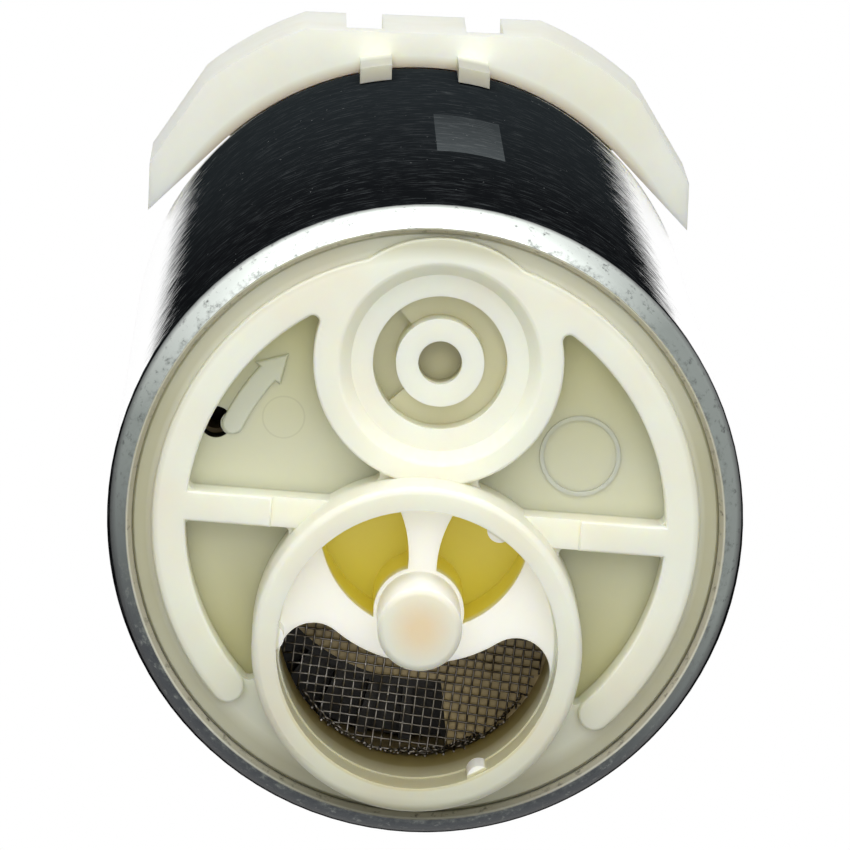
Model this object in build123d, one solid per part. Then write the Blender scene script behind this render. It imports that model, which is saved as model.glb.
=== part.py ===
from build123d import *
import os
from math import acos, atan2, cos, degrees, hypot, radians, sin, sqrt

# Electric fuel pump for use inside a tank: a turbine pump and a brushed motor in one crimped steel shell.
# Units are millimetres. Z is the pump axis: inlet at the bottom, outlet at the top.
# The origin lies on the axis, where the shell's straight wall begins at the inlet end.
# The inlet boss stands on the +Y side, the tank-return port and the saddle wing on the -Y side.
# Angles are in degrees from +X towards +Y.

# Clearances
fit_gap = 0.03            # between parts that sit in the shell
running_gap = 0.05        # radial, shaft in its bushings
brush_gap = 0.10          # brush in its guide, each side
face_gap = 0.05           # impeller to the plates, each side
seat_gap = 0.02           # small parts in their seats

# Steel shell
shell_radius = 19.0
shell_wall = 1.0
shell_length = 72.0       # straight wall, between the rolled lips
lip_reach = 2.2           # how far each lip stands beyond the straight wall
lip_roll_in = 1.15        # how far the lip's outer edge comes in
lip_trim = 1.5            # from the outside of the shell to the lip's trimmed edge

# Inlet cover, moulded in natural acetal
face_height = 1.3         # flat face beyond the shell's straight wall
land_height = 0.7         # raised ring and ribs above the face
ring_inset = 2.7          # from the outside of the shell to the ring
ring_width = 2.0
ring_gap_angle = 46.0     # half angle of the ring's open side, about +Y
rib_width = 1.8
rib_offset = -0.05
rib_step = 0.35           # the rib's inner end is this much lower
rib_step_radius = 9.2
pocket_depth = 3.0        # below the ring's top
pocket_corner = 0.4
lower_pocket_end = 10.4   # Y where the two lower pockets end
cover_wall = 1.8          # floor under the pockets
inlet_seat = 4.6          # Z where the pump section begins
inlet_rim_wall = 2.0

# Inlet boss, the cup round the inlet
boss_offset = 6.95
boss_bore = 8.35
boss_wall = 1.45
boss_height = 4.2         # rim above the cover's face
boss_edge = 0.45
bore_ledge = 0.1          # the openings stay this far inside the bore
spider_depth = 3.0        # face between the openings, below the rim
core_floor = 1.0          # wall that closes the two cored openings
web_outer = 8.25          # web between the cores and the inlet, radii about the axis
web_inner = 6.3
inlet_corner = 2.05
spoke_root = 3.8
spoke_tip = 1.7
spoke_waist = 7.0         # radius of its hollow sides
pin_radius = 2.5
pin_offset = 5.2
pin_height = 6.0          # above the spider's face
pin_root = 0.2            # the cores stop this far outside the pin
pin_edge = 0.4
pip_radius = 0.75
pip_proud = 0.45
pip_angles = (60, 180, 300)

# Return port on the cover
port_rim = 0.72           # from the boss to the edge of the cover
port_radius = 7.45
port_mouth = 6.0
port_seat_radius = 5.3
port_depth = 0.9
port_shift = (0.1, 0.15)   # from the boss to its mouth
groove_radius = 4.0
groove_depth = 3.1        # below the boss face
post_radius = 2.63
post_bore = 1.3
window_angle = 46.0       # half angle of the deeper part of the groove, about -X
window_floor = 0.8        # wall that closes it

# Vapour vent
vent_radius = 0.95
vent_angle = 200.215
vent_outset = 0.547       # outside the middle of the flow channel
mark_radius = 0.72        # round end of the cast arrow, which bounds the vent
mark_shift = 1.0          # from the vent towards +X

# Inlet screen
screen_thickness = 0.3
screen_clearance = 0.12

# Pump section
plate_thickness = 4.6
plate_rim = 2.77          # from the flow channel to the shell
channel_width = 4.0
channel_depth = 1.4
port_start = 80.0
port_span = 66.0
port_widening = 0.6       # the port reaches inside the channel
stripper_angle = 35.0     # closed part of the channel, before the port
button_radius = 3.0
button_thickness = 1.6
impeller_thickness = 3.5
impeller_tip_gap = 0.2
vane_inset = 0.7          # buckets start outside the channel's inner edge
vane_count = 36
vane_thickness = 0.6
vane_web = 0.5
body_deck = 5.2           # from the impeller pocket's floor to the top of the pump body
tower_radius = 5.4
tower_height = 4.6
outlet_port_radius = 1.5
outlet_port_angle = 8.0   # before the end of the channel
seal_section = 0.9        # radius of the seal rings' section
seal_squeeze = 0.08

# Motor
shaft_radius = 2.0
shaft_flat = 0.45         # depth of the drive flat
bushing_radius = 3.6
bushing_length = 5.8
bushing_edge = 0.25
washer_radius = 3.9
washer_thickness = 0.5
stack_hub = 5.2
slot_count = 8
tooth_tip = 1.1
slot_mouth = 1.5
tooth_width = 3.0
insulator_thickness = 0.8
coil_gap = 0.15
end_turn_height = 4.4
end_turn_inset = 0.8      # from the edge of the stack
end_turn_slope = 2.0
end_turn_groove = (2.2, 0.8)
commutator_inset = 3.7    # from the edge of the stack
commutator_inner = 4.3
commutator_height = 2.6
commutator_hub = 2.6
commutator_slit = 0.5
commutator_drop = 3.98    # face below the outlet cover's deck
hub_inset = 0.6           # hub under the segments
hub_gap = 0.1
hub_recess = 0.2
hook_size = (1.4, 1.6, 1.0)
magnet_gap = 0.55         # air gap at the rotor
magnet_thickness = 4.02
magnet_span = 136.0
magnet_overhang = 7.0     # longer than the stack
magnet_edge = 0.5
clip_thickness = 0.5
clip_leg = 2.6
clip_play = 0.8          # degrees between the clip's legs and the magnets

# Outlet cover, moulded in natural acetal
deck_thickness = 4.6
hub_step = 2.37           # from the shell's inside to the hub
hub_height = 4.0          # above the deck's face
hub_wall = 1.6            # round the chamber cored from below
deck_roof = 3.0
skirt_depth = 9.0
skirt_wall = 2.0
brush_margin = 0.5        # narrower than the commutator's track
brush_width = 4.0
brush_length = 8.0
brush_lift = 2.0          # how far a brush can be pushed back
guide_wall = 1.1
spring_closed = 4.6       # length of the closed spring
guide_rise = 0.8          # guides above the commutator's face
brush_seat = 0.03
brush_edge = 0.3
cap_thickness = 0.6

# Outlet nozzle and check valve
nozzle_edge = 0.5         # from the chamber to the edge of the hub
chamber_radius = 4.0
chamber_wall = 1.4
chamber_height = 6.5      # above the hub
nozzle_radius = 3.6
barb_radius = 4.3
barb_pitch = 4.2
barb_count = 3
nozzle_height = 15.4
nozzle_bore = 2.2
barb_start = 0.6          # foot of each barb
barb_rise = 0.3
valve_drop = 2.0          # chamber's end above the brush guides' ends
valve_seat_bore = 2.1
valve_seat_height = 3.0
poppet_radius = 3.1
poppet_thickness = 1.4
stem_radius = 1.0
stem_gap = 0.08
guide_ring = 0.8
guide_height = 1.6
guide_arm = 0.9

# Relief valve
relief_angle = 32.8
relief_ball = 1.6
relief_room = 0.25        # round the ball
relief_bore = 1.1
relief_wall = 1.1
relief_height = 3.6       # above the hub
relief_seat_height = 3.8  # above the deck's underside
relief_seat_wall = 2.0
relief_plug_bore = 0.7
relief_plug = 1.6

# Springs: wire radius and turns
brush_wire = 0.2
brush_turns = 5
valve_wire = 0.22
valve_turns = 4
relief_wire = 0.16
relief_turns = 4

# Chokes and terminals
choke_angle = 26.8        # below the X axis
choke_inset = 3.4         # from the edge of the hub
choke_core = 1.2
choke_wire = 0.45
choke_turns = 6
choke_length = 9.0
choke_room = 0.3
socket_size = (16.4, 9.4)
socket_edge = 1.0         # from the shroud to the edge of the hub
socket_wall = 1.3
socket_height = 10.5
blade_spacing = 7.2
blade_width = 2.8
blade_thickness = 0.8
blade_height = 8.5
foot_thickness = 0.8

# Saddle wing at the outlet end
wing_turn = -2.3          # from straight up, towards -X
wing_reach = 3.9          # beyond the shell
wing_crown = 1.5          # taken off by the flat
wing_half_width = 18.4
wing_clearance = 0.1
wing_depth = 11.5
wing_tip = 11.85          # how far above the axis the slanted ends come out
wing_slant = (9.7, 25.5)  # far end of the slant's line, beyond the arc
wing_lip_gap = 0.4        # over the shell's rolled lip
wing_wall = 1.2
wing_front_wall = 2.0
wing_root = 2.0           # web under the edge of the hub
notch_spacing = 8.2
notch_width = 2.5
notch_depth = 1.3
leg_spacing = 6.6
leg_width = 2.1
leg_thickness = 1.0
leg_length = 7.0


# Shared shapes

def disc(radius, z0, z1, at=(0, 0)):
    """Round bar between two heights."""
    return Pos(at[0], at[1], z0) * extrude(Circle(radius), z1 - z0)


def tube(outer, inner, z0, z1, at=(0, 0)):
    """Round tube between two heights."""
    return Pos(at[0], at[1], z0) * extrude(Circle(outer) - Circle(inner), z1 - z0)


def slab(size, z0, z1, at=(0, 0)):
    """Rectangular bar between two heights."""
    return Pos(at[0], at[1], z0) * extrude(Rectangle(*size), z1 - z0)


def prism(sketch, z0, z1):
    """Outline carried from one height to another."""
    return Pos(0, 0, z0) * extrude(sketch, z1 - z0)


def turned(points, at=(0, 0)):
    """Solid of revolution from points of radius and height."""
    return Pos(at[0], at[1], 0) * revolve(Plane.XZ * Polygon(*points, align=None), Axis.Z)


def ring_sector(inner, outer, start, span):
    """Part of a flat ring, from one angle over a span."""
    far = CenterArc((0, 0), outer, start, span)
    near = CenterArc((0, 0), inner, start, span)
    return make_face([far, near, Line(far @ 0, near @ 0), Line(far @ 1, near @ 1)])


def half_plane(x0, x1, y0, y1):
    """Rectangle between four sides, used to trim an outline."""
    return Pos((x0 + x1) / 2, (y0 + y1) / 2) * Rectangle(x1 - x0, y1 - y0)


def rounded(outline, radius):
    """Outline with its outer corners rounded."""
    corners = Sketch()
    for face in outline.faces():
        corners += offset(offset(face, -radius), radius)
    return corners


def polar(radius, angle):
    """Point at a radius and an angle."""
    return (radius * cos(radians(angle)), radius * sin(radians(angle)))


def spring(radius, wire, turns, z0, z1, at=(0, 0)):
    """Compression spring of round wire that just fits between two heights."""
    path = Helix(pitch=(z1 - z0 - 2 * wire) / turns, height=z1 - z0 - 2 * wire, radius=radius)
    coil = sweep(Plane(origin=path @ 0, z_dir=path % 0) * Circle(wire), path=path, is_frenet=True)
    return Pos(at[0], at[1], z0 + wire) * coil


# Sizes and places that follow from those above

seat_radius = shell_radius - shell_wall - fit_gap
face_z = -face_height
land_z = face_z - land_height
pocket_z = land_z + pocket_depth
cover_back_z = pocket_z + cover_wall
rim_z = face_z - boss_height
spider_z = rim_z + spider_depth
ring_radius = shell_radius - ring_inset
port_offset = port_radius + port_rim - seat_radius
boss_at = (0, boss_offset)
port_at = (0, port_offset)
mouth_at = (port_shift[0], port_offset + port_shift[1])
pin_at = (0, pin_offset)

plate_top = inlet_seat + plate_thickness
impeller_z = plate_top + face_gap
impeller_top = impeller_z + impeller_thickness
pocket_roof = impeller_top + face_gap
body_top = pocket_roof + body_deck
tower_top = body_top + tower_height
body_seal_z = body_top - 2 * seal_section
outlet_seal_z = shell_length - 2 * seal_section
channel_outer = seat_radius - plate_rim
channel_inner = channel_outer - channel_width
channel_middle = (channel_inner + channel_outer) / 2
channel_end = port_start + 360 - stripper_angle
vent_place = polar(channel_middle + vent_outset, vent_angle)
mark_place = (vent_place[0] + mark_shift, vent_place[1])

magnet_inner = seat_radius - magnet_thickness
stack_radius = magnet_inner - magnet_gap
slot_top = stack_radius - tooth_tip
end_turn_radius = stack_radius - end_turn_inset
commutator_radius = stack_radius - commutator_inset
tooth_pitch = 360 / slot_count
deck_z = shell_length - deck_thickness + face_height
commutator_face = deck_z - commutator_drop
commutator_z = commutator_face - commutator_height
upper_turns_top = commutator_z - commutator_hub
stack_top = upper_turns_top - end_turn_height - insulator_thickness
lower_washer_z = tower_top + seat_gap
stack_z = lower_washer_z + washer_thickness + insulator_thickness + end_turn_height
magnet_z = body_top + seat_gap
magnet_top = magnet_z + stack_top - stack_z + magnet_overhang
upper_bushing_z = commutator_face + washer_thickness + seat_gap
shaft_end = upper_bushing_z + bushing_length - seat_gap
shaft_start = plate_top - washer_thickness + seat_gap

hub_radius = seat_radius - hub_step
deck_face = shell_length + face_height
hub_top = deck_face + hub_height
roof_z = hub_top - deck_roof
guide_z = commutator_face + guide_rise
brush_z = commutator_face + brush_seat
brush_top = brush_z + brush_length
cap_z = brush_top + brush_lift + spring_closed
brush_size = (commutator_radius - commutator_inner - brush_margin, brush_width)
brush_offset = (commutator_radius + commutator_inner) / 2
valve_z = guide_z + valve_drop
chamber_top = hub_top + chamber_height
chamber_roof = chamber_top - chamber_wall
chamber_outer = chamber_radius + chamber_wall
nozzle_top = chamber_top + nozzle_height
nozzle_at = (0, hub_radius - chamber_outer - nozzle_edge)
poppet_z = valve_z + valve_seat_height + seat_gap
valve_guide_z = chamber_roof - guide_height
hub_of_guide = stem_radius + stem_gap + guide_ring
relief_seat_z = deck_z + relief_seat_height
relief_top = hub_top + relief_height
relief_room_radius = relief_ball + relief_room
relief_place = polar(hub_radius - relief_room_radius - relief_wall, relief_angle)
relief_spring_radius = relief_ball - 2 * relief_wire
ball_z = relief_seat_z + sqrt((relief_ball + seat_gap)**2 - relief_bore**2)
plug_z = relief_top - relief_plug
choke_place = polar(hub_radius - choke_inset, -choke_angle)
choke_coil = choke_core + choke_wire + seat_gap
choke_well = choke_coil + choke_wire + choke_room
choke_z = cap_z - choke_length - seat_gap
foot_z = choke_z - foot_thickness
socket_at = (0, socket_edge + socket_size[1] / 2 - hub_radius)
blade_places = [(side * blade_spacing / 2, socket_at[1]) for side in (-1, 1)]

wing_radius = shell_radius + wing_reach
wing_flat = wing_radius - wing_crown
wing_back = shell_length + wing_depth
web_z = shell_length + lip_reach + wing_lip_gap


# Shell

def lip_arc_radius():
    """Radius of the arc that rolls the shell's outer face in."""
    return (lip_roll_in**2 + lip_reach**2) / (2 * lip_roll_in)


def lip_centre():
    """Distance of the lip's arc centre from the axis."""
    return shell_radius - lip_arc_radius()


def lip_profile():
    """Section of one rolled lip, below Z = 0."""
    outer = lip_arc_radius()
    inner = outer - shell_wall
    sweep_angle = degrees(acos((outer - lip_roll_in) / outer))
    outside = CenterArc((lip_centre(), 0), outer, -sweep_angle, sweep_angle)
    inside = CenterArc((lip_centre(), 0), inner, -sweep_angle, sweep_angle)
    curl = make_face([outside, inside, Line(outside @ 0, inside @ 0), Line(outside @ 1, inside @ 1)])
    return curl & half_plane(shell_radius - lip_trim, shell_radius, -lip_reach, 0)


def make_shell():
    wall = tube(shell_radius, shell_radius - shell_wall, 0, shell_length)
    lip = revolve(Plane.XZ * lip_profile(), Axis.Z)
    return wall + lip + Pos(0, 0, shell_length) * mirror(lip, Plane.XY)


def crimped_disc(z_back):
    """Disc whose front edge is rounded to lie under the shell's lip, front face down."""
    nose = lip_arc_radius() - shell_wall - fit_gap
    nose_angle = degrees(atan2(face_height, sqrt(nose**2 - face_height**2)))
    edge = CenterArc((lip_centre(), 0), nose, -nose_angle, nose_angle)
    top = (0, -face_height)
    outline = [edge, Line(edge @ 0, top), Line(top, (0, z_back)), Line((0, z_back), (seat_radius, z_back)),
               Line((seat_radius, z_back), edge @ 1)]
    return revolve(Plane.XZ * make_face(outline), Axis.Z)


# Inlet cover

def ring_outline():
    """C-shaped ring with rounded ends, open towards +Y."""
    ends = Sketch()
    middle = ring_radius - ring_width / 2
    for angle in (90 - ring_gap_angle, 90 + ring_gap_angle):
        ends += Pos(*polar(middle, angle)) * Circle(ring_width / 2)
    start = 90 + ring_gap_angle
    return ring_sector(ring_radius - ring_width, ring_radius, start, 360 - 2 * ring_gap_angle) + ends


def pocket_outline():
    """The four pockets between the ring, the ribs and the two bosses."""
    inside = ring_radius - ring_width
    rib_low = rib_offset - rib_width / 2
    rib_high = rib_offset + rib_width / 2
    field = Circle(inside) - Pos(*port_at) * Circle(port_radius)
    field -= Pos(*boss_at) * Circle(boss_bore + boss_wall)
    upper = field & half_plane(-inside, inside, -inside, rib_low)
    lower = field & half_plane(-inside, inside, rib_high, lower_pocket_end)
    return rounded(upper + lower, pocket_corner)


def land_outline():
    """Everything on the cover's face that is level with the ring's top."""
    inside = ring_radius - ring_width
    top = Circle(inside) & half_plane(-inside, inside, -inside, port_offset)
    ribs = half_plane(-inside, inside, rib_offset - rib_width / 2, rib_offset + rib_width / 2)
    return ring_outline() + top + ribs + Pos(*port_at) * Circle(port_radius)


def inlet_opening(clearance=0.0):
    """Crescent-shaped inlet between the web and the boss bore."""
    shape = Pos(*boss_at) * Circle(boss_bore - bore_ledge - clearance) - Circle(web_outer + clearance)
    return fillet(shape.vertices(), inlet_corner - clearance)


def core_outline():
    """Two petal-shaped cores, one each side of the spoke."""
    top = boss_offset - boss_bore
    neck = pin_offset - pin_radius
    spoke = make_face([
        RadiusArc((-spoke_root / 2, top), (-spoke_tip / 2, neck), -spoke_waist),
        Line((-spoke_tip / 2, neck), (spoke_tip / 2, neck)),
        RadiusArc((spoke_tip / 2, neck), (spoke_root / 2, top), -spoke_waist),
        Line((spoke_root / 2, top), (-spoke_root / 2, top)),
    ])
    area = (Pos(*boss_at) * Circle(boss_bore - bore_ledge)) & Circle(web_inner)
    area &= half_plane(-boss_bore, boss_bore, top, pin_offset + pin_radius)
    return area - spoke - Pos(*pin_at) * Circle(pin_radius + pin_root)


def make_inlet_cover():
    boss_radius = boss_bore + boss_wall
    body = crimped_disc(cover_back_z) + tube(seat_radius, seat_radius - inlet_rim_wall, 0, inlet_seat)
    body += prism(land_outline(), land_z, cover_back_z)
    body -= prism(pocket_outline(), land_z, pocket_z)
    body -= slab((2 * rib_step_radius, rib_width), land_z, land_z + rib_step, at=(0, rib_offset))

    # Inlet boss with its cores, web and pin
    cup = disc(boss_radius, rim_z, inlet_seat, at=boss_at)
    cup = fillet(cup.edges().group_by(Axis.Z)[0], boss_edge)
    body += cup
    body -= disc(boss_bore, rim_z, spider_z, at=boss_at)
    body -= prism(inlet_opening(), spider_z, inlet_seat)
    body -= prism(core_outline(), spider_z, inlet_seat - core_floor)
    pin = disc(pin_radius, spider_z - pin_height, spider_z, at=pin_at)
    body += fillet(pin.edges().group_by(Axis.Z)[0], pin_edge)
    for angle in pip_angles:
        x, y = polar(boss_bore + pip_radius - pip_proud, angle)
        body += disc(pip_radius, rim_z + boss_edge, spider_z, at=(x, y + boss_offset)) & disc(
            boss_bore + boss_wall / 2, rim_z, spider_z, at=boss_at)

    # Return port: stepped mouth, groove with its deeper part, and the bored post
    step_z = land_z + port_depth
    groove_z = land_z + groove_depth
    body -= turned([(0, land_z), (port_mouth, land_z), (port_seat_radius, step_z), (0, step_z)], at=mouth_at)
    groove = Pos(*mouth_at) * (Circle(groove_radius) - Circle(post_radius))
    body -= prism(groove, step_z, groove_z)
    window = Pos(*mouth_at) * ring_sector(post_radius, groove_radius, 180 - window_angle, 2 * window_angle)
    body -= prism(window, groove_z, cover_back_z - window_floor)
    body -= disc(post_bore, step_z, groove_z, at=mouth_at)

    # Vapour vent beside the cast arrow
    vent = Pos(*vent_place) * Circle(vent_radius) - Pos(*mark_place) * Circle(mark_radius)
    body -= prism(vent, pocket_z, cover_back_z)
    return body


def make_inlet_screen():
    """Screen in the inlet, plain here: a crescent that lies on the inlet plate."""
    return prism(inlet_opening(screen_clearance), inlet_seat - screen_thickness, inlet_seat)


# Pump section

def channel():
    """C-shaped flow channel, cut as half an ellipse into a plate at Z = 0."""
    section = Pos(channel_middle, 0) * Ellipse((channel_outer - channel_inner) / 2, channel_depth)
    path = CenterArc((0, 0, 0), channel_middle, port_start, 360 - stripper_angle)
    profile = Plane(origin=path @ 0, x_dir=(cos(radians(port_start)), sin(radians(port_start)), 0),
                    z_dir=path % 0) * Pos(-channel_middle, 0) * section
    return sweep(profile, path=path)


def make_inlet_plate():
    plate = disc(seat_radius, inlet_seat, plate_top)
    plate -= Pos(0, 0, plate_top) * channel()
    port = ring_sector(channel_inner - port_widening, channel_outer, port_start, port_span)
    plate -= prism(port, inlet_seat, plate_top)
    plate -= disc(vent_radius, inlet_seat, plate_top, at=vent_place)
    return plate - disc(button_radius, plate_top - button_thickness - washer_thickness, plate_top)


def make_thrust_button():
    button = disc(button_radius - seat_gap, plate_top - button_thickness - washer_thickness,
                  plate_top - washer_thickness)
    return chamfer(button.edges().group_by(Axis.Z)[-1], washer_thickness / 2)


def shaft_section(clearance=0.0):
    """Round shaft with one drive flat."""
    radius = shaft_radius + clearance
    flat = shaft_radius - shaft_flat + clearance
    return Circle(radius) & half_plane(-radius, radius, -radius, flat)


def make_impeller():
    tip = channel_outer
    wheel = disc(tip, impeller_z, impeller_top) - prism(shaft_section(seat_gap), impeller_z, impeller_top)
    pitch = 360 / vane_count
    half = degrees(vane_thickness / channel_middle) / 2
    depth = (impeller_thickness - vane_web) / 2
    bucket = ring_sector(channel_inner + vane_inset, tip + impeller_tip_gap, half, pitch - 2 * half)
    lower = prism(bucket, impeller_z, impeller_z + depth)
    upper = prism(bucket, impeller_top - depth, impeller_top)
    cutters = [Rot(0, 0, n * pitch) * side for n in range(vane_count) for side in (lower, upper)]
    return wheel - cutters


def make_seal(z):
    """Seal ring of round section, squeezed against the shell."""
    middle = seat_radius - seal_section + seal_squeeze - seat_gap
    ring = Pos(0, 0, z) * Torus(middle, seal_section)
    return ring & disc(seat_radius, z - seal_section, z + seal_section)


def seal_cut(z):
    """Groove for a seal ring."""
    depth = 2 * seal_section - seal_squeeze + 2 * seat_gap
    return tube(shell_radius, seat_radius - depth, z - seal_section - seat_gap, z + seal_section + seat_gap)


def make_pump_body():
    body = disc(seat_radius, plate_top, body_top) + disc(tower_radius, body_top, tower_top)
    body -= disc(channel_outer + impeller_tip_gap, plate_top, pocket_roof)
    body -= Pos(0, 0, pocket_roof) * channel()
    port_place = polar(channel_middle, channel_end - outlet_port_angle)
    body -= disc(outlet_port_radius, pocket_roof, body_top, at=port_place)
    body -= disc(bushing_radius, tower_top - bushing_length, tower_top)
    body -= disc(shaft_radius + 2 * running_gap, plate_top, tower_top)
    return body - seal_cut(body_seal_z)


def make_bushing(z):
    """Sintered bushing with chamfered ends."""
    bush = tube(bushing_radius - seat_gap, shaft_radius + running_gap, z, z + bushing_length)
    rims = bush.edges().filter_by(GeomType.CIRCLE)
    return chamfer([edge for edge in rims if edge.radius > bushing_radius - bushing_edge], bushing_edge)


# Motor

def slot_outline(clearance=0.0):
    """Winding slot between two teeth, about +X, with room left round the copper."""
    half_tooth = tooth_width / 2 + clearance
    half_pitch = radians(tooth_pitch / 2)
    low = stack_hub + clearance
    high = slot_top - clearance

    def side(radius):
        reach = radius * sin(half_pitch) - half_tooth * cos(half_pitch)
        return (radius * cos(half_pitch) + half_tooth * sin(half_pitch), reach)

    inner, outer = side(low + half_tooth), side(high)
    return Polygon((inner[0], -inner[1]), (outer[0], -outer[1]), (outer[0], outer[1]), (inner[0], inner[1]),
                   align=None)


def stack_outline():
    """One lamination: teeth and slots."""
    plate = Circle(stack_radius) - Circle(shaft_radius)
    mouth = Pos((slot_top + stack_radius) / 2, 0) * Rectangle(tooth_tip + slot_mouth, slot_mouth)
    for n in range(slot_count):
        plate -= Rot(0, 0, n * tooth_pitch) * slot_outline()
        plate -= Rot(0, 0, n * tooth_pitch) * mouth
    return plate


def make_lamination_stack():
    return prism(stack_outline(), stack_z, stack_top)


def make_end_insulator(z):
    """Fibre end plate with the stack's own slots."""
    return prism(stack_outline(), z, z + insulator_thickness)


def make_windings():
    """Eight coils: a bar of wires in each slot, joined by round bundles over both ends."""
    copper = Part()
    low = stack_z - insulator_thickness
    high = stack_top + insulator_thickness
    for n in range(slot_count):
        copper += Rot(0, 0, n * tooth_pitch) * prism(slot_outline(coil_gap), low, high)
    inner = stack_hub + coil_gap
    for base, tip in ((low, low - end_turn_height), (high, high + end_turn_height)):
        middle = (base + tip) / 2
        bundle = turned([(inner, base), (inner, tip), (end_turn_radius - end_turn_slope, tip),
                         (end_turn_radius, middle), (end_turn_radius, base)])
        for n in range(slot_count):
            groove = Rot(0, 0, (n + 0.5) * tooth_pitch) * Pos(end_turn_radius, 0, middle)
            bundle -= groove * Box(*end_turn_groove, 2 * end_turn_height)
        copper += bundle
    return copper


def make_shaft():
    bar = disc(shaft_radius, shaft_start, shaft_end)
    bar = chamfer(bar.edges().group_by(Axis.Z)[-1], shaft_flat / 2)
    bar = chamfer(bar.edges().group_by(Axis.Z)[0], shaft_flat)
    drive = prism(shaft_section(), shaft_start, impeller_top)
    return bar - disc(shaft_radius + 1, shaft_start, impeller_top) + (bar & drive)


def make_commutator_hub():
    """Phenolic hub under the copper segments, with a hook groove for each coil end."""
    hub = tube(commutator_radius - hub_inset, shaft_radius, upper_turns_top + hub_gap, commutator_z)
    return hub + tube(commutator_inner, shaft_radius, commutator_z, commutator_face - hub_recess)


def make_commutator_segments():
    """Flat copper segments, parted by slits, with a hook at each rim."""
    ring = tube(commutator_radius, commutator_inner, commutator_z, commutator_face)
    hook = Pos(commutator_radius, 0, commutator_z + hook_size[2] / 2) * Box(*hook_size)
    for n in range(slot_count):
        ring += Rot(0, 0, (n + 0.5) * tooth_pitch) * hook
    for n in range(slot_count):
        slit = Pos(commutator_radius, 0, commutator_z + commutator_height / 2)
        slit *= Box(2 * commutator_radius, commutator_slit, 2 * commutator_height)
        ring -= Rot(0, 0, n * tooth_pitch) * slit
    return ring


def make_washer(z):
    return tube(washer_radius, shaft_radius + seat_gap, z, z + washer_thickness)


def make_magnet(angle):
    """Ferrite arc magnet, bonded to the shell's wall."""
    arc = ring_sector(magnet_inner, seat_radius, angle - magnet_span / 2, magnet_span)
    block = prism(arc, magnet_z, magnet_top)
    return chamfer(block.edges().filter_by(Axis.Z), magnet_edge)


def make_magnet_clip(angle):
    """Spring steel clip, a U that spreads the magnets apart."""
    outer = seat_radius
    half = (180 - magnet_span) / 2 - clip_play
    clip = ring_sector(outer - clip_thickness, outer, angle - half, 2 * half)
    for side in (-1, 1):
        leg = Pos(outer - clip_leg / 2 - clip_thickness / 2, -side * clip_thickness / 2)
        clip += Rot(0, 0, angle + side * half) * leg * Rectangle(clip_leg, clip_thickness)
    return prism(clip, magnet_z, magnet_top)


# Outlet cover

def wing_outline(wall=0.0):
    """Outside of the saddle wing: an arc with a flat crown and straight ends, pointing to -Y."""
    side = wing_half_width - wall
    far = (wing_slant[0] - wall, -wing_slant[1])
    ends = Polygon((-side, wing_radius), (-side, -wing_tip), (-far[0], far[1]), (far[0], far[1]),
                   (side, -wing_tip), (side, wing_radius), align=None)
    return Circle(wing_radius - wall) & half_plane(-side, side, -wing_flat + wall, wing_radius) & ends


def wing_inside(wall=0.0):
    """Opening of the saddle: the shell's circle, running out in straight tangents at its ends."""
    inner = shell_radius + wing_clearance + wall
    tangent = inner * sin(radians(45))
    reach = 3 * wing_radius
    legs = Polygon((-tangent, -tangent), (tangent, -tangent), (reach, reach - 2 * tangent),
                   (-reach, reach - 2 * tangent), align=None)
    return Circle(inner) + legs


def make_wing():
    body = prism(wing_outline() - wing_inside(), shell_length, wing_back)
    core = wing_outline(wing_wall) - wing_inside(wing_wall)
    body -= prism(core, shell_length + wing_front_wall, wing_back)
    web = half_plane(-wing_half_width, wing_half_width, -wing_radius, wing_root - hub_radius)
    body += prism(wing_outline() & web, web_z, hub_top)
    for side in (-1, 1):
        notch_middle = -wing_flat + notch_depth / 2
        body -= slab((notch_width, notch_depth), shell_length + wing_front_wall, wing_back,
                     at=(side * notch_spacing / 2, notch_middle))
        inner = shell_radius + wing_clearance
        leg = (Circle(inner + leg_thickness) - Circle(inner)) & half_plane(
            side * leg_spacing / 2 - leg_width / 2, side * leg_spacing / 2 + leg_width / 2, -wing_radius, 0)
        body += prism(leg, shell_length - leg_length, shell_length)
    return Rot(0, 0, wing_turn) * body


def nozzle_profile():
    """Section of the barbed nozzle above the valve chamber."""
    points = [(nozzle_bore, chamber_roof), (chamber_outer, chamber_roof), (chamber_outer, chamber_top),
              (nozzle_radius, chamber_top + chamber_wall)]
    for n in range(barb_count):
        foot = nozzle_top - (barb_count - n) * barb_pitch
        edge = foot + barb_start
        points += [(nozzle_radius, edge), (barb_radius, edge + barb_rise), (nozzle_radius, foot + barb_pitch)]
    return points + [(nozzle_bore, nozzle_top)]


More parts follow.
